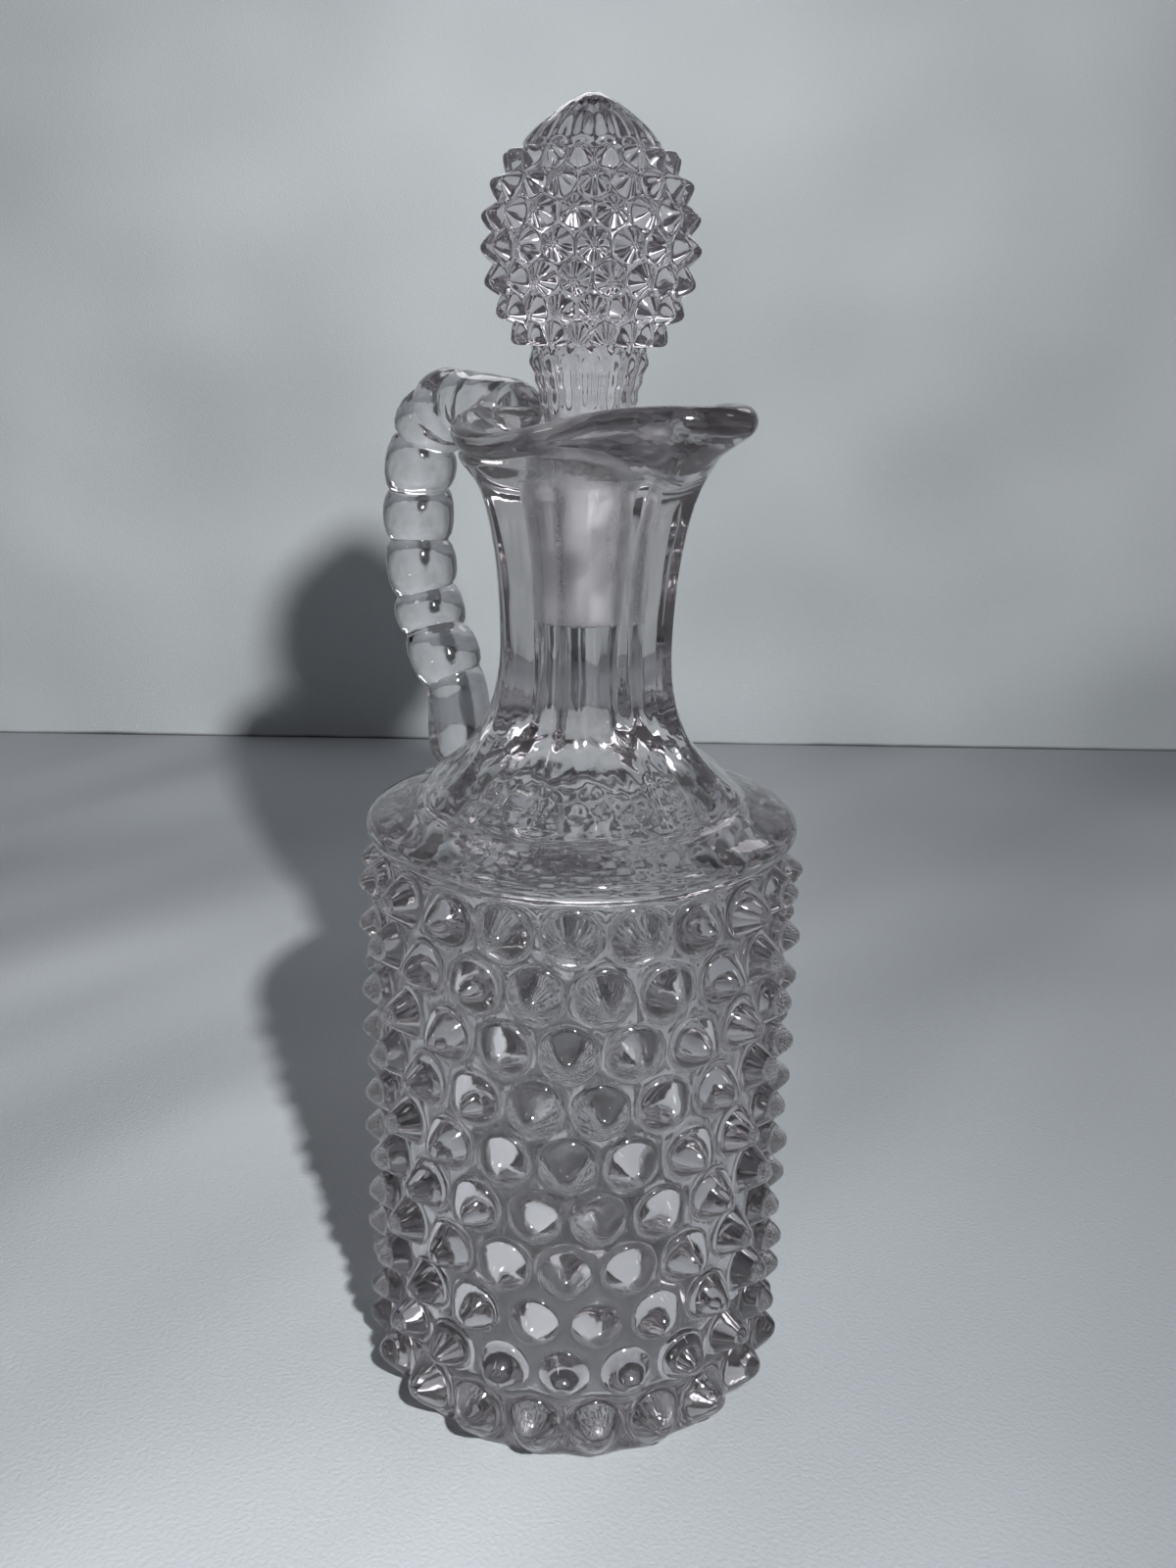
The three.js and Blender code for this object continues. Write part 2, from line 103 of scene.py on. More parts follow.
class Socket:
    """An output in a node tree. Arithmetic on it adds Math nodes to the tree."""

    def __init__(self, graph: "NodeGraph", output: bpy.types.NodeSocket) -> None:
        """Keep the tree and the output that the value comes from."""
        self.graph = graph
        self.output = output

    def math(self, operation: str, *values: "Socket | float") -> "Socket":
        """Return a Math node's result for the given values."""
        made = self.graph.node("ShaderNodeMath", {"operation": operation}, dict(enumerate(values)))
        return self.graph.output(made)

    def __add__(self, other: "Socket | float") -> "Socket":
        """Return self + other."""
        return self.math("ADD", self, other)

    def __radd__(self, other: float) -> "Socket":
        """Return other + self."""
        return self.math("ADD", other, self)

    def __sub__(self, other: "Socket | float") -> "Socket":
        """Return self - other."""
        return self.math("SUBTRACT", self, other)

    def __rsub__(self, other: float) -> "Socket":
        """Return other - self."""
        return self.math("SUBTRACT", other, self)

    def __mul__(self, other: "Socket | float") -> "Socket":
        """Return self * other."""
        return self.math("MULTIPLY", self, other)

    def __rmul__(self, other: float) -> "Socket":
        """Return other * self."""
        return self.math("MULTIPLY", other, self)

    def __pow__(self, other: float) -> "Socket":
        """Return self to the power of other."""
        return self.math("POWER", self, other)

    def rise(self, low: float, high: float) -> "Socket":
        """Return 0 below low and 1 above high, with a smooth rise between them."""
        made = self.graph.node(
            "ShaderNodeMapRange",
            {"interpolation_type": "SMOOTHSTEP"},
            {"Value": self, "From Min": low, "From Max": high},
        )
        return self.graph.output(made)

    def within(self, low: float, high: float, edge: float) -> "Socket":
        """Return 1 where the value is between low and high, fading to 0 over the edge."""
        return self.rise(low - edge, low) * (1 - self.rise(high, high + edge))


class NodeGraph:
    """The node tree of a material or of the world."""

    def __init__(self, owner: bpy.types.Material | bpy.types.World) -> None:
        """Start an empty tree on a new material or world."""
        self.owner = owner
        owner.use_nodes = True
        self.tree = owner.node_tree
        self.tree.nodes.clear()

    def node(self, kind: str, settings: dict | None = None, values: dict | None = None) -> bpy.types.Node:
        """Add a node.

        Args:
            kind: the node's type.
            settings: the node's own properties.
            values: numbers, colours or sockets for its inputs, by name or place.

        Returns:
            The node.
        """
        made = self.tree.nodes.new(kind)
        for key, value in (settings or {}).items():
            setattr(made, key, value)
        for key, value in (values or {}).items():
            if isinstance(value, Socket):
                self.tree.links.new(value.output, made.inputs[key])
            else:
                made.inputs[key].default_value = value
        return made

    def output(self, node: bpy.types.Node, key: int | str = 0) -> Socket:
        """Return one output of a node as a socket."""
        return Socket(self, node.outputs[key])

    def place(self) -> tuple[Socket, Socket, Socket, Socket]:
        """Return the place on the object in metres, and its X, Y and Z in millimetres."""
        coordinates = self.output(self.node("ShaderNodeTexCoord"), "Object")
        parts = self.node("ShaderNodeSeparateXYZ", values={0: coordinates})
        across, deep, height = (self.output(parts, axis) * (1 / METRES) for axis in range(3))
        return coordinates, across, deep, height

    def noise(self, place: Socket, pattern: Pattern) -> Socket:
        """Return a pattern's noise.

        Args:
            place: the place on the object.
            pattern: the noise and its stretch and share.

        Returns:
            A value from 0 to the share.
        """
        moved = self.node("ShaderNodeMapping", values={"Vector": place, "Scale": pattern.stretch})
        made = self.node(
            "ShaderNodeTexNoise",
            values={
                "Vector": self.output(moved),
                "Scale": pattern.scale,
                "Detail": pattern.detail,
                "Roughness": pattern.roughness,
            },
        )
        return self.output(made) * pattern.share

    def mixed_colour(self, factor: Socket, first: Colour | Socket, second: Colour | Socket) -> Socket:
        """Mix two colours.

        Args:
            factor: 0 for the first, 1 for the second.
            first: a colour or a socket with one.
            second: the same.

        Returns:
            The mixed colour.
        """
        ends = [end if isinstance(end, Socket) else (*end, 1) for end in (first, second)]
        made = self.node("ShaderNodeMix", {"data_type": "RGBA"}, {0: factor, 6: ends[0], 7: ends[1]})
        return self.output(made, 2)

    def mixed_shader(self, factor: Socket, first: bpy.types.Node, second: bpy.types.Node) -> bpy.types.Node:
        """Return a node that mixes two shaders, at a factor of the way to the second."""
        ends = {1: self.output(first), 2: self.output(second)}
        return self.node("ShaderNodeMixShader", values={0: factor, **ends})

    def bump(self, height: Socket, distance: float) -> Socket:
        """Return a normal that is bumped by a height from 0 to 1 over a distance in metres."""
        return self.output(self.node("ShaderNodeBump", values={"Height": height, "Distance": distance}))

    def finish(self, surface: bpy.types.Node, volume: bpy.types.Node | None = None) -> bpy.types.Material:
        """Link the shaders to the material's output.

        Args:
            surface: the surface's shader.
            volume: the shader of the inside, if it has one.

        Returns:
            The material.
        """
        links = {"Surface": self.output(surface)}
        if volume is not None:
            links["Volume"] = self.output(volume)
        self.node("ShaderNodeOutputMaterial", values=links)
        return self.owner


# Finishes


@dataclass(frozen=True)
class Band:
    """A band between two heights in millimetres, fading over an edge, with a relief of its own."""

    low: float
    high: float
    edge: float
    relief: Pattern


@dataclass(frozen=True)
class GroundZone:
    """A band of the glass that is ground matt: rough clear glass under a pale veil.

    The sizes are in millimetres, and the relief is in metres. As much of the veil is mixed in
    as its base and its swing for each of grain, strokes and blots add up to, times veil. Its
    paleness, from dark to light, is the sum of strokes, blots and foot by their shares: strokes
    and blots vary it in noise, and foot is a painted highlight that makes the veil paler just
    above the zone's lower edge.
    """

    low: float
    high: float
    radius: float
    veil: float
    edge: float = 0.4
    radius_edge: float = 0.2
    # the height in millimetres over which the painted highlight along the zone's lower edge fades out
    foot: float = 8.0
    base: float = 0.3
    swing: float = 0.42
    clear: Colour = (0.96, 0.955, 0.965)
    dark: Colour = (0.25, 0.255, 0.265)
    light: Colour = (0.72, 0.73, 0.76)
    roughness: float = 0.32
    roughness_swing: float = 0.12
    veil_roughness: float = 0.4
    relief: float = 0.00006
    grain: Pattern = Pattern(2600.0, detail=3.0, roughness=0.7)
    ragged: Pattern = Pattern(700.0, share=1.2, detail=2.0)
    strokes: Pattern = Pattern(420.0, (1.0, 1.0, 0.12))
    stroke_range: Place = (0.35, 0.65)
    blots: Pattern = Pattern(210.0)
    blot_range: Place = (0.4, 0.6)
    stroke_share: float = 0.3
    blot_share: float = 0.4
    # the share of the painted highlight along the zone's lower edge in the veil's paleness
    painted_highlight_share: float = 0.3


@dataclass(frozen=True)
class PressedGlass:
    """Clear pressed glass with a faint amethyst tint and the slight ripple of the mould.

    Its foot is tinted darker as painted shade, where the glass stands on the cloth: the painted
    shade fades out over the foot's heights, and in over its radii, in millimetres. The ripple
    is the depth of the patterns' relief, in metres.
    """

    name: str
    tint: Colour = (0.985, 0.98, 0.983)
    # painted shade: the darker colour that the foot's glass is tinted to, where it stands on the cloth
    painted_foot_shade: Colour = (0.50, 0.49, 0.505)
    painted_shade_heights: Place = (1.5, 7.0)
    painted_shade_radii: Place = (22.5, 24.5)
    shade: Colour = (0.50, 0.455, 0.475)
    density: float = 22.0
    index: float = 1.51
    roughness: float = 0.05
    roughness_base: float = 0.6
    polish: Pattern = Pattern(900.0, share=0.8, detail=2.0)
    ripple: float = 0.00022
    waves: Pattern = Pattern(150.0)
    draws: Pattern = Pattern(600.0, (1.0, 1.0, 0.25), 0.18)
    fine: Pattern = Pattern(1800.0, share=0.012, detail=2.0)
    bands: Sequence[Band] = ()
    ground: GroundZone | None = None

    def material(self) -> bpy.types.Material:
        """Return the material of this glass."""
        graph = NodeGraph(bpy.data.materials.new(self.name))
        place, across, deep, height = graph.place()
        radius = (across * across + deep * deep) ** 0.5
        relief = graph.noise(place, self.waves) + graph.noise(place, self.draws)
        relief = relief + graph.noise(place, self.fine)
        for band in self.bands:
            lines = graph.noise(place, band.relief)
            relief = relief + lines * height.within(band.low, band.high, band.edge)
        # painted shade: the foot's glass is tinted darker where it stands on the cloth, fading out upwards
        # and towards the axis
        foot = (1 - height.rise(*self.painted_shade_heights)) * radius.rise(*self.painted_shade_radii)
        surface = graph.node(
            "ShaderNodeBsdfPrincipled",
            values={
                "Base Color": graph.mixed_colour(foot, self.tint, self.painted_foot_shade),
                "Roughness": (self.roughness_base + graph.noise(place, self.polish)) * self.roughness,
                "IOR": self.index,
                "Transmission Weight": 1.0,
                "Normal": graph.bump(relief, self.ripple),
            },
        )
        if self.ground is not None:
            surface = self._with_ground(graph, surface, place, radius, height)
        shade = graph.node(
            "ShaderNodeVolumeAbsorption", values={"Color": (*self.shade, 1), "Density": self.density}
        )
        return graph.finish(surface, shade)

    def _with_ground(
        self, graph: NodeGraph, clear: bpy.types.Node, place: Socket, radius: Socket, height: Socket
    ) -> bpy.types.Node:
        """Mix the ground band into the clear glass.

        Args:
            graph: the material's tree.
            clear: the shader of the clear glass.
            place: the place on the object.
            radius: the distance from the axis, in millimetres.
            height: the height, in millimetres.

        Returns:
            The mixed shader.
        """
        zone = self.ground
        grain = graph.noise(place, zone.grain)
        strokes = graph.noise(place, zone.strokes).rise(*zone.stroke_range)
        blots = graph.noise(place, zone.blots).rise(*zone.blot_range)
        matt = graph.node(
            "ShaderNodeBsdfPrincipled",
            values={
                "Base Color": (*zone.clear, 1),
                "Roughness": zone.roughness + grain * zone.roughness_swing,
                "IOR": self.index,
                "Transmission Weight": 1.0,
                "Normal": graph.bump(grain, zone.relief),
            },
        )
        # painted highlight: the veil is paler just above the zone's lower edge, fading out upwards
        foot = 1 - height.rise(zone.low, zone.low + zone.foot)
        paleness = zone.stroke_share * strokes + zone.blot_share * blots + zone.painted_highlight_share * foot
        veil = graph.node(
            "ShaderNodeBsdfPrincipled",
            values={
                "Base Color": graph.mixed_colour(paleness, zone.dark, zone.light),
                "Roughness": zone.veil_roughness,
                "IOR": self.index,
            },
        )
        strength = (zone.base + (grain + strokes + blots) * zone.swing) * zone.veil
        ragged = height + graph.noise(place, zone.ragged) - zone.ragged.share / 2
        band = ragged.within(zone.low, zone.high, zone.edge)
        inside = 1 - radius.rise(zone.radius, zone.radius + zone.radius_edge)
        return graph.mixed_shader(band * inside, clear, graph.mixed_shader(strength, matt, veil))


@dataclass(frozen=True)
class Cloth:
    """Plain pale cloth for the floor and the backdrop, with a faint weave and soft creases.

    The crease is the depth of the relief in metres. The folds that bump the cloth also darken
    and lighten its colour, as painted fold shade and light. The shade line is the height in
    millimetres of a dark line of painted shade along the foot of an upright cloth, where it
    meets the floor.
    """

    name: str
    light: Colour
    dark: Colour
    # the height of a dark line of painted shade along the foot of an upright cloth, where it meets the floor
    shade_line: float = 0.0
    shade_line_wave: Pattern = Pattern(25.0, detail=2.0)
    # the colour of the painted shade line at the foot of an upright cloth
    hollow: Colour = (0.06, 0.062, 0.065)
    crease: float = 0.03
    # the folds' noise bumps the cloth and also paints fold shade and light into its colour
    folds: Pattern = Pattern(6.0, (1.0, 0.45, 1.0), detail=2.0)
    fold_shade_range: Place = (0.32, 0.68)
    weave: Pattern = Pattern(1400.0)
    weave_share: float = 0.15
    weave_relief: float = 0.004
    roughness: float = 0.62
    roughness_swing: float = 0.1

    def material(self) -> bpy.types.Material:
        """Return the material of this cloth."""
        graph = NodeGraph(bpy.data.materials.new(self.name))
        place, _, _, height = graph.place()
        folds = graph.noise(place, self.folds)
        weave = graph.noise(place, self.weave)
        # painted fold shade and light: the folds mix the colour between dark and light; the weave adds a
        # faint tone of its own
        level = folds.rise(*self.fold_shade_range) * (1 - self.weave_share) + weave * self.weave_share
        colour = graph.mixed_colour(level, self.dark, self.light)
        # painted shade: a dark line along the foot of an upright cloth, where it meets the floor
        if self.shade_line:
            ragged = height + (graph.noise(place, self.shade_line_wave) - 0.5) * self.shade_line
            colour = graph.mixed_colour(ragged.rise(0.0, self.shade_line), self.hollow, colour)
        shader = graph.node(
            "ShaderNodeBsdfPrincipled",
            values={
                "Base Color": colour,
                "Roughness": self.roughness + weave * self.roughness_swing,
                "Normal": graph.bump(folds + weave * self.weave_relief, self.crease),
            },
        )
        return graph.finish(shader)


# Meshes


class Body(Enum):
    """The bodies that the pieces ride on."""

    BOTTLE = "bottle"
    STOPPER = "stopper"


def turned(azimuth: float, radius: float, height: float) -> Vector:
    """Return the point at an azimuth, a radius and a height."""
    return Vector((radius * math.cos(azimuth), radius * math.sin(azimuth), height))


def blank_mesh() -> BMesh:
    """Return an empty mesh whose edges can be creased."""
    bm = bmesh.new()
    bm.edges.layers.float.new("crease_edge")
    return bm


@dataclass
class HobnailField:
    """Rows of pointed hobnails on a flat sheet, staggered so that their cells interlock.

    On the sheet X runs round the piece in columns, Y runs up it in rows, and Z stands out.
    The profile gives the radius and height of each ring of a hobnail above its base.
    """

    columns: int
    rows: int
    width: float
    pitch: float
    base: float
    profile: Sequence[Place]
    tip: float
    foot_stretch: float = 1.0
    base_crease: float = 0.7
    squeeze: float = 1.0
    six_sided: float = 0.0
    six_sided_rings: int = 2

    def rolled(self, place: Callable[[Vector], Triple], weld: float) -> BMesh:
        """Return the field rolled round the axis and sewn.

        Args:
            place: gives the azimuth, radius and height for a point of the sheet.
            weld: how near to each other the points of the seam are.

        Returns:
            The open mesh.
        """
        bm = self._sheet()
        for vert in bm.verts:
            vert.co = turned(*place(vert.co))
        bmesh.ops.remove_doubles(bm, verts=bm.verts, dist=weld)
        return bm

    def _sheet(self) -> BMesh:
        """Return the flat field, with the middle of the first hobnail at the origin."""
        bm = self._cell()
        cell = bm.faces[:]
        for _ in range(1, self.columns):
            cell = self._copied(bm, cell, Vector((self.width, 0, 0)))
        row = bm.faces[:]
        for number in range(1, self.rows):
            step = Vector(((0.5 if number % 2 else -0.5) * self.width, self.pitch, 0))
            row = self._copied(bm, row, step)
        for vert in bm.verts:
            if vert.co.y < 0:
                vert.co.y *= self.foot_stretch
        bmesh.ops.remove_doubles(bm, verts=bm.verts, dist=CELL_WELD)
        return bm

    def _cell(self) -> BMesh:
        """Return one hobnail on its six-sided cell, whose corners are 2/3 of a pitch up and down."""
        bm = blank_mesh()
        bmesh.ops.create_circle(bm, cap_ends=True, segments=6, radius=1)
        corner = self.width / (2 * math.cos(SIXTH / 2))
        bmesh.ops.scale(bm, vec=(corner, self.pitch * 2 / 3, 1), verts=bm.verts)
        bmesh.ops.subdivide_edges(bm, edges=bm.edges, cuts=1)
        face = bm.faces[:][0]
        layer = bm.edges.layers.float["crease_edge"]
        for number, (radius, height) in enumerate(((self.base, 0.0), *self.profile)):
            sides = self.six_sided * max(0.0, 1 - number / self.six_sided_rings)
            bmesh.ops.inset_individual(bm, faces=[face], thickness=INSET)
            for edge in face.edges:
                edge[layer] = self.base_crease if number == 0 else 0.0
            for vert in face.verts:
                ray = Vector((vert.co.x, vert.co.y / self.squeeze, 0)).normalized()
                within = (math.atan2(ray.y, ray.x) + SIXTH / 2) % SIXTH - SIXTH / 2
                ray *= radius * lerp(1, 1 / math.cos(within), sides)
                vert.co = (ray.x, ray.y * self.squeeze, height)
        point = bmesh.ops.poke(bm, faces=[face])["verts"][0]
        point.co = (0, 0, self.tip)
        bmesh.ops.recalc_face_normals(bm, faces=bm.faces)
        if sum(face.normal.z for face in bm.faces) < 0:
            bmesh.ops.reverse_faces(bm, faces=bm.faces)
        return bm

    @staticmethod
    def _copied(bm: BMesh, faces: list[BMFace], step: Vector) -> list[BMFace]:
        """Copy faces by a step.

        Args:
            bm: the mesh.
            faces: the faces to copy.
            step: how far the copies move.

        Returns:
            The copies.
        """
        made = bmesh.ops.duplicate(bm, geom=faces)["geom"]
        verts = [item for item in made if isinstance(item, BMVert)]
        bmesh.ops.translate(bm, vec=step, verts=verts)
        return [item for item in made if isinstance(item, BMFace)]


class Loft:
    """An open border of a turned mesh, from which new rings are drawn out."""

    def __init__(self, bm: BMesh, edges: Sequence[BMEdge]) -> None:
        """Keep the mesh and the edges of its open border."""
        self.bm = bm
        self.edges = list(edges)

    def settle(self, station: Station) -> None:
        """Move the border itself to a station."""
        for vert in {vert for edge in self.edges for vert in edge.verts}:
            azimuth = math.atan2(vert.co.y, vert.co.x)
            vert.co = turned(azimuth, *station(azimuth))

    def grow(self, station: Station, crease: float = 0.0, corners: float = 0.0) -> None:
        """Draw a new ring out of the border.

        Args:
            station: gives the ring's radius and height at an azimuth.
            crease: how sharp the ring's own edges stay when the mesh is smoothed.
            corners: how sharp the lines between the panels of the neck stay.
        """
        made = bmesh.ops.extrude_edge_only(self.bm, edges=self.edges)["geom"]
        fresh = {item for item in made if isinstance(item, BMVert)}
        self.edges = [item for item in made if isinstance(item, BMEdge) and fresh.issuperset(item.verts)]
        self.settle(station)
        if crease:
            layer = self.bm.edges.layers.float["crease_edge"]
            for edge in self.edges:
                edge[layer] = crease
        if corners:
            self._crease_corners(fresh, corners)

    def _crease_corners(self, fresh: set[BMVert], crease: float) -> None:
        """Sharpen the edges that run up to the new ring between the neck's panels."""
        layer = self.bm.edges.layers.float["crease_edge"]
        for vert in fresh:
            azimuth = math.atan2(vert.co.y, vert.co.x)
            if abs(azimuth % PANEL - PANEL / 2) < CORNER_ANGLE:
                for edge in vert.link_edges:
                    if edge.other_vert(vert) not in fresh:
                        edge[layer] = crease

    def turn(self, places: Sequence[Place]) -> None:
        """Draw out round rings, each of a radius at a height."""
        for radius, height in places:
            self.grow(ring(radius, height))

    def close(self, height: float) -> None:
        """Close the border with a fan around a point on the axis."""
        face = bmesh.ops.contextual_create(self.bm, geom=self.edges)["faces"][0]
        point = bmesh.ops.poke(self.bm, faces=[face])["verts"][0]
        point.co = (0, 0, height)


def ring(radius: float, height: float) -> Station:
    """Return a round station."""
    return lambda azimuth: (radius, height)


def waved(columns: int, radius: float, height: float, swing: float) -> Station:
    """Return a station that swings out from a radius and back once for each column.

    Args:
        columns: how many columns stand round the piece.
        radius: the radius at azimuth 0.
        height: the height.
        swing: how far it goes out, or in where this is negative.

    Returns:
        The station.
    """
    return lambda azimuth: (radius + swing * (1 - math.cos(columns * azimuth)) / 2, height)


def between(start: Station, end: Station, across: float, up: float) -> Station:
    """Blend two stations.

    Args:
        start: the first station.
        end: the second station.
        across: the share of the way in radius.
        up: the share of the way in height.

    Returns:
        The station between them.
    """

    def station(azimuth: float) -> Place:
        """Return the radius and height at an azimuth."""
        (from_radius, from_height), (to_radius, to_height) = start(azimuth), end(azimuth)
        return lerp(from_radius, to_radius, across), lerp(from_height, to_height, up)

    return station


def borders(bm: BMesh, middle: float) -> tuple[Loft, Loft]:
    """Find the two open borders of a turned mesh.

    Args:
        bm: the mesh.
        middle: a height between the borders.

    Returns:
        The lower border and the upper one.
    """
    edges = [edge for edge in bm.edges if edge.is_boundary]
    low = [edge for edge in edges if edge.verts[0].co.z < middle]
    high = [edge for edge in edges if edge.verts[0].co.z >= middle]
    return Loft(bm, low), Loft(bm, high)


def add_mesh(bm: BMesh, name: str, material: bpy.types.Material) -> bpy.types.Object:
    """Bring a mesh in millimetres to metres and put it into the scene.

    Args:
        bm: the mesh, which is used up.
        name: the name of the mesh and its object.
        material: the material of all its faces.

    Returns:
        The object.
    """
    bmesh.ops.scale(bm, vec=(METRES, METRES, METRES), verts=bm.verts)
    mesh = bpy.data.meshes.new(name)
    bm.to_mesh(mesh)
    bm.free()
    mesh.materials.append(material)
    made = bpy.data.objects.new(name, mesh)
    bpy.context.scene.collection.objects.link(made)
    return made


def make_piece(bm: BMesh, node: str, body: Body, finish: PressedGlass, levels: int) -> bpy.types.Object:
    """Turn a mesh in millimetres into a dressed piece of the object.

    Args:
        bm: the closed mesh, which is used up.
        node: the CAD node that it stands for.
        body: the CAD body that it rides on.
        finish: the glass that it is made of, which also names the piece.
        levels: how often the mesh is subdivided.

    Returns:
        The object.
    """
    bmesh.ops.recalc_face_normals(bm, faces=bm.faces)
    for face in bm.faces:
        face.smooth = True
    faces, open_edges = len(bm.faces), sum(1 for edge in bm.edges if not edge.is_manifold)
    piece = add_mesh(bm, finish.name, finish.material())
    smooth = piece.modifiers.new("smooth", "SUBSURF")
    smooth.levels = smooth.render_levels = levels
    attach(piece, body.value)
    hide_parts(node)
    log.info("%s: %d faces, %d open edges", finish.name, faces, open_edges)
    return piece


# Pieces


@dataclass
class Bottle:
    """The pressed bottle, from its underside round the lip to the floor of the cavity.

    Its lists hold a radius and a height for each ring. The third number of the foot is how
    far the ring stands out under the hobnails. The spout's spread and the side angle are in
    degrees away from the spout, and the bead's angles go round the bead from its outside.
    """

    wall_radius: float = 28.2
    wall_top: float = 86.5
    row_pitch: float = 8.3
    foot_row: float = 6.9
    foot_stretch: float = 1.42
    columns: int = 20
    rows: int = 10
    hobnail_base: float = 4.1
    hobnail_profile: Sequence[Place] = ((3.15, 1.45), (1.85, 3.05), (0.8, 4.1))
    hobnail_tip: float = 4.18
    foot: Sequence[Triple] = (
        (27.2, 0.75, 0.8), (26.8, 0.2, 0.8), (26.2, 0.0, 0.5), (24.6, 0.05, 0.0), (22.6, 0.5, 0.0),
    )
    hollow: float = 0.7
    shoulder: Sequence[Place] = (
        (29.3, 86.7), (30.5, 87.4), (31.1, 88.6), (30.85, 89.8), (29.5, 90.85), (26.9, 91.7),
        (24.3, 92.3), (23.3, 92.7),
    )
    neck: Sequence[Place] = (
        (23.2, 93.6), (22.6, 94.8), (20.9, 96.0), (19.4, 97.1), (17.6, 98.8), (15.6, 101.4),
        (13.9, 104.6), (12.9, 108.2), (12.4, 113.0), (12.6, 119.0), (13.1, 125.0), (13.9, 130.0),
        (15.1, 134.8), (16.3, 137.2),
    )
    panel_flatness: float = 0.86
    panel_crease: float = 0.5
    panel_foot: Place = (92.6, 94.8)
    panel_head: Place = (136.7, 139.2)
    lip_root: Place = (17.4, 139.3)
    lip_shares: Sequence[Place] = ((0.38, 0.4), (0.72, 0.74))
    rim_radius: float = 18.6
    spout_radius: float = 25.7
    spout_spread: float = 26.0
    rim_thickness: float = 3.3
    spout_thickness: float = 4.7
    bead_angles: Sequence[float] = (-75.0, -35.0, 5.0, 45.0, 85.0, 125.0, 160.0)
    spout_rise: float = 8.4
    spout_power: float = 1.6
    side_rise: float = 4.4
    side_angle: float = 100.0
    back_rise: float = 6.9
    funnel_shares: Sequence[Place] = ((0.22, 0.2), (0.5, 0.52), (0.8, 0.86), (1.0, 1.0))
    ledge: Sequence[Place] = ((8.9, 140.55), (8.4, 140.4), (5.95, 140.4))
    bore: Sequence[Place] = ((5.65, 140.15), (5.075, 128.2), (4.5, 116.0))
    throat: Sequence[Place] = ((4.3, 114.8), (4.3, 106.2), (4.7, 103.9))
    cavity: Sequence[Place] = (
        (5.8, 102.6), (7.8, 101.2), (10.2, 99.4), (12.6, 97.2), (14.9, 94.7), (17.2, 91.7), (19.4, 88.2),
        (21.4, 84.0), (22.7, 79.0), (23.2, 72.0), (23.2, 50.0), (23.2, 20.0),
        (23.0, 10.6), (21.8, 7.0), (19.4, 5.0), (15.0, 4.2), (7.0, 4.0),
    )
    glass: PressedGlass = PressedGlass(
        "bottle_glass",
        bands=(
            Band(86.8, 92.4, 1.0, Pattern(170.0, (1.0, 1.0, 5.0), 0.8)),
            Band(97.0, 132.0, 4.0, Pattern(330.0, (1.0, 1.0, 0.06), 2.0)),
        ),
        ground=GroundZone(118.4, 140.1, 6.4, 0.12),
    )

    def build(self) -> bpy.types.Object:
        """Make the bottle's glass."""
        bm = self._wall()
        low, high = borders(bm, self.wall_top / 2)
        low.settle(waved(self.columns, *self.foot[0]))
        for radius, height, swing in self.foot[1:]:
            low.grow(waved(self.columns, radius, height, swing))
        low.close(self.hollow)
        high.settle(ring(self.wall_radius, self.wall_top))
        high.turn(self.shoulder)
        self._grow_neck(high)
        self._grow_lip(high)
        high.turn((*self.bore, *self.throat, *self.cavity))
        high.close(self.cavity[-1][1])
        return make_piece(bm, "bottle", Body.BOTTLE, self.glass, 1)

    def _wall(self) -> BMesh:
        """Return the hobnail wall."""
        field = HobnailField(
            self.columns, self.rows, TURN * self.wall_radius / self.columns, self.row_pitch,
            self.hobnail_base, self.hobnail_profile, self.hobnail_tip, self.foot_stretch,
        )
        return field.rolled(self._on_wall, WALL_WELD)

    def _on_wall(self, spot: Vector) -> Triple:
        """Return the azimuth, radius and height for a point of the flat field."""
        azimuth = spot.x / self.wall_radius + TURN / (2 * self.columns)
        return azimuth, self.wall_radius + spot.z, self.foot_row + spot.y

    def _grow_neck(self, loft: Loft) -> None:
        """Draw out the neck of eight flat panels."""
        for corner_radius, height in self.neck:
            flat = smoothstep(height, *self.panel_foot) * (1 - smoothstep(height, *self.panel_head))
            station = self._panelled(corner_radius, height, self.panel_flatness * flat)
            loft.grow(station, corners=self.panel_crease * flat)

    @staticmethod
    def _panelled(corner_radius: float, height: float, flat: float) -> Station:
        """Make a ring of flat sides.

        Args:
            corner_radius: the radius at the corners.
            height: the height.
            flat: 0 for round, 1 for fully flat.

        Returns:
            The station.
        """

        def station(azimuth: float) -> Place:
            """Return the radius and height at an azimuth."""
            within = (azimuth + PANEL / 2) % PANEL - PANEL / 2
            return corner_radius * lerp(1, math.cos(PANEL / 2) / math.cos(within), flat), height

        return station

    def _rim_height(self, angle: float) -> float:
        """Work out the top of the rim, which is lowest at the side angle.

        Args:
            angle: the angle from the spout, in degrees.

        Returns:
            The height of the top.
        """
        if angle < self.side_angle:
            share, end = (angle / self.side_angle) ** self.spout_power, self.spout_rise
        else:
            share, end = (180 - angle) / (180 - self.side_angle), self.back_rise
        wave = (1 + math.cos(math.pi * share)) / 2
        return self.lip_root[1] + lerp(self.side_rise, end, wave)

    def _bead(self, around: float) -> Station:
        """Follow the bead of the lip.

        Args:
            around: the angle round the bead in degrees, 0 outwards and 90 up.

        Returns:
            The station on the bead.
        """
        out, up = math.cos(math.radians(around)), math.sin(math.radians(around))

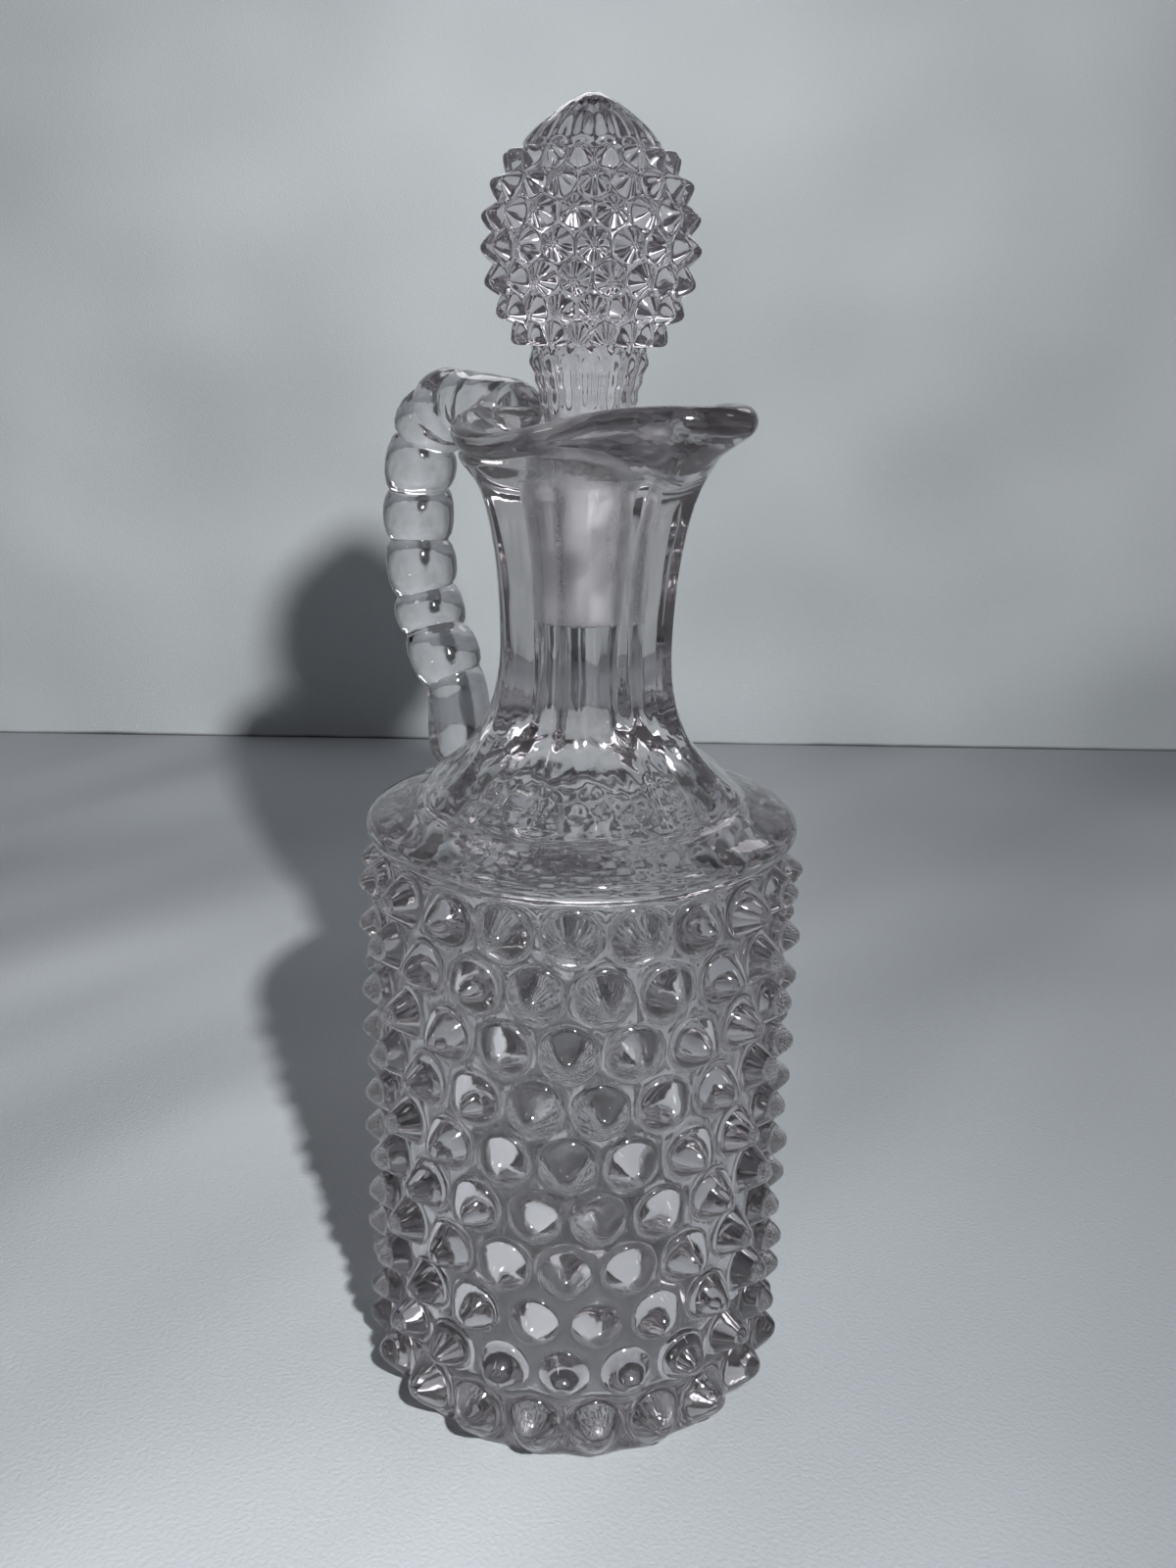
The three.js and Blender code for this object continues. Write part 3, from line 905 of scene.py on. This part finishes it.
        def station(azimuth: float) -> Place:
            """Return the radius and height at an azimuth."""
            angle = math.degrees(math.acos(math.cos(azimuth)))
            spout = math.exp(-((angle / self.spout_spread) ** 2))
            bead = lerp(self.rim_thickness, self.spout_thickness, spout) / 2
            radius = lerp(self.rim_radius, self.spout_radius, spout) - bead
            return radius + bead * out, self._rim_height(angle) - bead + bead * up

        return station

    def _grow_lip(self, loft: Loft) -> None:
        """Draw out the root of the lip, its bead and the funnel down to the mouth."""
        root, ledge = ring(*self.lip_root), ring(*self.ledge[0])
        first, last = self._bead(self.bead_angles[0]), self._bead(self.bead_angles[-1])
        loft.grow(root)
        for out, up in self.lip_shares:
            loft.grow(between(root, first, out, up))
        for around in self.bead_angles:
            loft.grow(self._bead(around))
        for inward, down in self.funnel_shares:
            loft.grow(between(last, ledge, inward, down))
        loft.turn(self.ledge[1:])


@dataclass
class Stopper:
    """The stopper: ground peg, fluted shank, hobnail knop and pointed cap.

    Its lists hold a radius and a height for each ring, and the flutes their depth as well.
    """

    columns: int = 18
    rows: int = 7
    knop_radius: float = 12.7
    knop_height: float = 167.0
    knop_below: float = 15.8
    knop_above: float = 14.8
    low_angle: float = -46.0
    row_angle: float = 14.2
    base: float = 2.17
    profile: Sequence[Place] = ((1.6, 0.6), (0.95, 1.25), (0.4, 1.66))
    tip: float = 1.77
    base_crease: float = 0.9
    six_sided: float = 0.9
    peg: Sequence[Place] = (
        (2.2, 117.5), (3.3, 117.8), (3.95, 118.5), (4.25, 119.6), (4.35, 121.0), (4.75, 128.0),
        (5.3, 139.4),
    )
    shank: Sequence[Place] = ((5.45, 140.6), (5.6, 142.8), (5.95, 145.6))
    flutes: Sequence[Triple] = (
        (6.2, 146.4, 0.2), (6.95, 147.4, 1.0), (6.45, 148.5, 0.5), (7.55, 149.6, 1.1), (7.1, 150.7, 0.6),
        (8.3, 151.8, 1.3), (8.0, 152.8, 0.8),
    )
    cap: Sequence[Place] = (
        (9.1, 178.6), (8.7, 179.1), (8.2, 179.8), (6.4, 181.4), (3.9, 183.2), (1.6, 184.5),
    )
    cap_flute: float = 0.5
    cap_flute_radii: Place = (3.0, 8.0)
    top: float = 184.88
    glass: PressedGlass = PressedGlass(
        "stopper_glass",
        shade=(0.50, 0.42, 0.49),
        roughness=0.035,
        ripple=0.0003,
        ground=GroundZone(115.0, 140.0, 6.4, 0.55),
    )

    def build(self) -> bpy.types.Object:
        """Make the stopper's glass."""
        bm = self._knop()
        low, high = borders(bm, self.knop_height)
        for radius, height, depth in reversed(self.flutes):
            low.grow(waved(self.columns, radius, height, -depth))
        low.turn((*reversed(self.shank), *reversed(self.peg)))
        low.close(self.peg[0][1])
        for radius, height in self.cap:
            depth = self.cap_flute * smoothstep(radius, *self.cap_flute_radii)
            high.grow(waved(self.columns, radius, height, -depth))
        high.close(self.top)
        return make_piece(bm, "stopper", Body.STOPPER, self.glass, 1)

    def _knop(self) -> BMesh:
        """Return the hobnails of the knop."""
        width = TURN * self.knop_radius / self.columns
        pitch = math.radians(self.row_angle) * self.knop_radius
        field = HobnailField(
            self.columns, self.rows, width, pitch, self.base, self.profile, self.tip,
            base_crease=self.base_crease,
            squeeze=pitch / (width * math.cos(SIXTH / 2)),
            six_sided=self.six_sided,
        )
        return field.rolled(self._on_knop, KNOP_WELD)

    def _on_knop(self, spot: Vector) -> Triple:
        """Bend the flat field to the egg shape.

        Args:
            spot: a point of the flat field.

        Returns:
            Its azimuth, radius and height.
        """
        angle = math.radians(self.low_angle) + spot.y / self.knop_radius
        half = self.knop_below if angle < 0 else self.knop_above
        normal = Vector((half * math.cos(angle), self.knop_radius * math.sin(angle))).normalized()
        radius = self.knop_radius * math.cos(angle) + normal.x * spot.z
        height = self.knop_height + half * math.sin(angle) + normal.y * spot.z
        return spot.x / self.knop_radius, radius, height


@dataclass
class Spine:
    """A smooth curve through points in the plane of the handle."""

    points: Sequence[Place]
    steps: int = 24

    def __post_init__(self) -> None:
        """Trace the curve and measure along it."""
        ends = [self._beyond(0, 1), *map(Vector, self.points), self._beyond(-1, -2)]
        self.trace = [
            self._at(ends[i:i + 4], step / self.steps)
            for i in range(len(ends) - 3) for step in range(self.steps)
        ]
        self.trace.append(Vector(self.points[-1]))
        self.distances = [0.0]
        for first, second in zip(self.trace, self.trace[1:]):
            self.distances.append(self.distances[-1] + (second - first).length)

    def _beyond(self, end: int, inner: int) -> Vector:
        """Return a point past one end of the curve."""
        return 2 * Vector(self.points[end]) - Vector(self.points[inner])

    @staticmethod
    def _at(corners: Sequence[Vector], share: float) -> Vector:
        """Return the point at a share of the way between the middle two of four points."""
        before, start, end, after = corners
        return 0.5 * (
            2 * start + (end - before) * share
            + (2 * before - 5 * start + 4 * end - after) * share ** 2
            + (3 * start - before - 3 * end + after) * share ** 3
        )

    @property
    def length(self) -> float:
        """The length of the curve."""
        return self.distances[-1]

    def place(self, distance: float) -> tuple[Vector, Vector]:
        """Follow the curve.

        Args:
            distance: how far along it.

        Returns:
            The point there, and the direction of the curve.
        """
        last = len(self.trace) - 2
        index = next((i for i in range(last + 1) if self.distances[i + 1] >= distance), last)
        start, end = self.trace[index], self.trace[index + 1]
        share = (distance - self.distances[index]) / (self.distances[index + 1] - self.distances[index])
        return start.lerp(end, share), (end - start).normalized()

    def nearest(self, point: Place) -> float:
        """Return the distance along the curve of the place nearest to a point."""
        target = Vector(point)
        return min(zip(self.trace, self.distances), key=lambda pair: (pair[0] - target).length)[1]


@dataclass(frozen=True)
class RodRing:
    """One ring of the handle, while it is still a straight rod.

    The distance is along the rod, deep and wide are half its thickness in the plane of the
    handle and across it, the crease is how sharp it stays, and the lean is how far it tips.
    """

    distance: float
    deep: float
    wide: float
    crease: float = 0.0
    lean: float = 0.0

    def station(self, azimuth: float) -> Place:
        """Return the ring's radius and its place along the rod at an azimuth."""
        return self.deep, self.distance + self.lean * self.deep * math.sin(azimuth)


@dataclass
class Handle:
    """The applied handle: a tail on the foot of the neck, a ringed grip and a gather on the rim.

    The path and the valleys between the rings are places out from the axis and up, and a
    valley's third number is its lean. The tail and the gather hold the distance along the
    rod, half the depth and half the width of each ring.
    """

    segments: int = 24
    path: Sequence[Place] = (
        (23.4, 92.6), (24.0, 97.6), (24.3, 103.0), (26.1, 107.2), (28.5, 111.4), (30.3, 115.7),
        (31.4, 120.1), (32.1, 125.9), (32.2, 131.7), (31.7, 136.1), (30.6, 140.1), (29.1, 143.1),
        (26.9, 145.0), (23.7, 146.0), (19.6, 145.9), (15.0, 145.6), (10.9, 145.4),
    )
    valleys: Sequence[Triple] = (
        (25.3, 106.0, 0.1), (29.0, 112.4, -0.16), (31.0, 118.4, 0.12), (32.1, 126.0, -0.08),
        (32.1, 133.4, 0.14), (30.9, 140.3, -0.12), (27.3, 144.8, 0.16), (23.5, 146.0, 0.0),
    )
    grip_radius: float = 5.4
    barrel_foot: float = 4.55
    barrel_power: float = 2.4
    barrel_shares: Sequence[float] = (0.12, 0.3, 0.5, 0.7, 0.88)
    valley_radius: float = 4.35
    valley_crease: float = 0.5
    tail: Sequence[Triple] = (
        (0.2, 3.0, 3.8), (0.8, 3.9, 4.9), (2.6, 4.4, 5.6), (6.0, 4.6, 5.4), (9.6, 4.5, 5.0), (12.4, 4.6, 4.8),
    )
    gather: Sequence[Triple] = (
        (1.2, 4.7, 5.4), (3.4, 4.5, 6.1), (5.4, 4.6, 6.3), (7.6, 4.5, 6.3), (9.6, 4.3, 6.0),
        (11.4, 3.8, 5.2), (12.6, 2.8, 3.9), (13.2, 1.5, 2.2),
    )
    end_rise: float = 0.4
    glass: PressedGlass = PressedGlass("handle_glass", ripple=0.0003)

    def build(self) -> bpy.types.Object:
        """Make the handle's glass: a straight ringed rod, then bent along the spine."""
        spine = Spine([(-out, up) for out, up in self.path])
        rings = self._rings(spine)
        bm = blank_mesh()
        bmesh.ops.create_circle(bm, segments=self.segments, radius=1)
        start = Loft(bm, bm.edges)
        start.settle(rings[0].station)
        loft = Loft(bm, start.edges)
        start.close(0.0)
        for item in rings[1:]:
            loft.grow(item.station, item.crease)
        loft.close(rings[-1].distance + self.end_rise)
        for vert in bm.verts:
            middle, along = spine.place(vert.co.z)
            out = Vector((along.y, -along.x)) * vert.co.x
            vert.co = (middle.x + out.x, vert.co.y * self._widening(rings, vert.co.z), middle.y + out.y)
        return make_piece(bm, "handle", Body.BOTTLE, self.glass, 2)

    @staticmethod
    def _widening(rings: Sequence[RodRing], distance: float) -> float:
        """Return how many times wider than deep the glass is at a distance."""
        nearest = min(rings, key=lambda item: abs(item.distance - distance))
        return nearest.wide / nearest.deep

    def _rings(self, spine: Spine) -> list[RodRing]:
        """Space the rings of the rod out along the spine.

        Args:
            spine: the line that the rod will be bent to.

        Returns:
            The rings, from the tail to the gather.
        """
        found = [RodRing(*item) for item in self.tail]
        places = [(spine.nearest((-out, up)), lean) for out, up, lean in self.valleys]
        for (start, low_lean), (end, high_lean) in zip(places, places[1:]):
            found.append(RodRing(start, self.valley_radius, self.valley_radius, self.valley_crease, low_lean))
            for share in self.barrel_shares:
                barrel = 1 - abs(2 * share - 1) ** self.barrel_power
                radius = lerp(self.barrel_foot, self.grip_radius, barrel)
                distance, lean = lerp(start, end, share), lerp(low_lean, high_lean, share)
                found.append(RodRing(distance, radius, radius, lean=lean))
        last = places[-1][0]
        found.append(RodRing(last, self.valley_radius, self.barrel_foot, self.valley_crease))
        found += [RodRing(last + distance, deep, wide) for distance, deep, wide in self.gather]
        return [item for item in found if item.distance <= spine.length - self.end_rise]


# Stage, light and camera


@dataclass
class PhotoCamera:
    """The camera at the photograph's own place and angle, which looks from the -Y side.

    The angles are in radians, and the focal length and the image's height are in pixels.
    """

    distance: float = 199.42
    height: float = 154.80
    pitch: float = 0.29676
    yaw: float = 0.004076
    roll: float = -0.017038
    turn: float = VIEW_TURN
    focal: float = 1476.80
    image_height: float = 1600.0
    sensor: float = 36.0
    clip_start: float = 10.0

    def build(self) -> bpy.types.Object:
        """Make the camera and give it to the scene."""
        forward = Vector((
            math.sin(self.yaw) * math.cos(self.pitch),
            math.cos(self.yaw) * math.cos(self.pitch),
            -math.sin(self.pitch),
        ))
        level = Vector((math.cos(self.yaw), -math.sin(self.yaw), 0))
        down = forward.cross(level)
        right = math.cos(self.roll) * level + math.sin(self.roll) * down
        down = math.cos(self.roll) * down - math.sin(self.roll) * level
        matrix = Matrix((right, -down, -forward)).transposed().to_4x4()
        matrix.translation = Vector((0, -self.distance, self.height)) * METRES
        data = bpy.data.cameras.new("photo_camera")
        data.sensor_width = self.sensor
        data.lens = self.focal / self.image_height * self.sensor
        data.clip_start = self.clip_start * METRES
        camera = bpy.data.objects.new("photo_camera", data)
        camera.matrix_world = Matrix.Rotation(self.turn, 4, "Z") @ matrix
        bpy.context.scene.collection.objects.link(camera)
        bpy.context.scene.camera = camera
        return camera


@dataclass(frozen=True)
class Lamp:
    """A soft round lamp, with its width in millimetres and its power in watts."""

    name: str
    place: Triple
    size: float
    power: float
    aim: Triple
    colour: Colour = (1.0, 1.0, 1.0)

    def build(self, turn: float) -> bpy.types.Object:
        """Make the lamp.

        Args:
            turn: how far the lamps and the stage are turned with the camera, in radians.

        Returns:
            The lamp.
        """
        data = bpy.data.lights.new(self.name, "AREA")
        data.shape = "DISK"
        data.size = self.size * METRES
        data.energy = self.power
        data.color = self.colour
        lamp = bpy.data.objects.new(self.name, data)
        place = Matrix.Rotation(turn, 3, "Z") @ Vector(self.place) * METRES
        aim = Matrix.Rotation(turn, 3, "Z") @ Vector(self.aim) * METRES - place
        lamp.matrix_world = Matrix.Translation(place) @ aim.to_track_quat("-Z", "Y").to_matrix().to_4x4()
        bpy.context.scene.collection.objects.link(lamp)
        return lamp


class Lie(Enum):
    """How a sheet of cloth lies."""

    FLAT = "flat"
    UPRIGHT = "upright"


@dataclass
class Studio:
    """A pale floor and backdrop, soft lamps and a dim room round them.

    The room's light is the share of the room's brightness that falls on matt surfaces.
    """

    turn: float = VIEW_TURN
    depth: float = 365.0
    half_width: float = 520.0
    front: float = 420.0
    height: float = 640.0
    # each cloth's colour runs between its light and dark colours with its folds, as painted fold shade and
    # light
    floor_cloth: Cloth = Cloth("floor_cloth", (0.43, 0.455, 0.48), (0.27, 0.29, 0.31))
    # the backdrop has a painted shade line 1.6 mm high along its foot
    back_cloth: Cloth = Cloth("back_cloth", (0.50, 0.53, 0.55), (0.35, 0.375, 0.39), 1.6)
    room: Colour = (0.082, 0.084, 0.087)
    room_light: float = 0.15
    lamps: Sequence[Lamp] = (
        Lamp("key", (61, -250, 254), 15, 3.5, (-260, 365, 330)),
        Lamp("spark_left", (-230, -160, 330), 60, 0.055, (0, 0, 100)),
        Lamp("spark_right", (250, -60, 380), 60, 0.055, (0, 0, 100)),
        Lamp("back_right", (215, 270, 350), 130, 0.09, (0, 0, 165), (1.0, 0.94, 1.0)),
        Lamp("back_lamp", (-20, 330, 390), 200, 0.21, (0, 0, 120), (0.98, 0.96, 1.0)),
    )

    def build(self) -> None:
        """Make the floor, the backdrop, the lamps and the room."""
        self._lay("floor", self.floor_cloth, (self.half_width, (self.front + self.depth) / 2), Lie.FLAT)
        self._lay("backdrop", self.back_cloth, (self.half_width, self.height / 2), Lie.UPRIGHT)
        for lamp in self.lamps:
            lamp.build(self.turn)
        self._light_room()

    def _light_room(self) -> None:
        """Make a plain room that shows in and past the glass, and sheds only a little light."""
        graph = NodeGraph(bpy.data.worlds.new("room"))
        matt = graph.output(graph.node("ShaderNodeLightPath"), "Is Diffuse Ray")
        values = {"Color": (*self.room, 1), "Strength": 1 - matt * (1 - self.room_light)}
        light = graph.output(graph.node("ShaderNodeBackground", values=values))
        graph.node("ShaderNodeOutputWorld", values={"Surface": light})
        bpy.context.scene.world = graph.owner

    def _lay(self, name: str, cloth: Cloth, half: Place, lie: Lie) -> None:
        """Make one sheet of cloth.

        Args:
            name: the sheet's name.
            cloth: its finish.
            half: half its width and half its depth or height.
            lie: flat in front of the backdrop's foot, or upright on it.
        """
        bm = bmesh.new()
        bmesh.ops.create_grid(bm, x_segments=2, y_segments=2, size=1)
        bmesh.ops.scale(bm, vec=(*half, 1), verts=bm.verts)
        if lie is Lie.UPRIGHT:
            bmesh.ops.rotate(bm, matrix=Matrix.Rotation(TURN / 4, 3, "X"), verts=bm.verts)
            bmesh.ops.translate(bm, vec=(0, self.depth, half[1]), verts=bm.verts)
        else:
            bmesh.ops.translate(bm, vec=(0, self.depth - half[1], 0), verts=bm.verts)
        bmesh.ops.rotate(bm, matrix=Matrix.Rotation(self.turn, 3, "Z"), verts=bm.verts)
        add_mesh(bm, name, cloth.material())


def main() -> None:
    """Build the cruet, its stage and the camera."""
    logging.basicConfig(level=logging.INFO, format="%(name)s: %(message)s")
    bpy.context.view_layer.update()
    scene = bpy.context.scene
    scene.view_settings.view_transform = "Standard"
    scene.cycles.max_bounces = GLASS_BOUNCES
    scene.cycles.transmission_bounces = GLASS_BOUNCES
    scene.cycles.glossy_bounces = GLOSS_BOUNCES
    PhotoCamera().build()
    Studio().build()
    Bottle().build()
    Handle().build()
    Stopper().build()


if __name__ == "__main__":
    main()
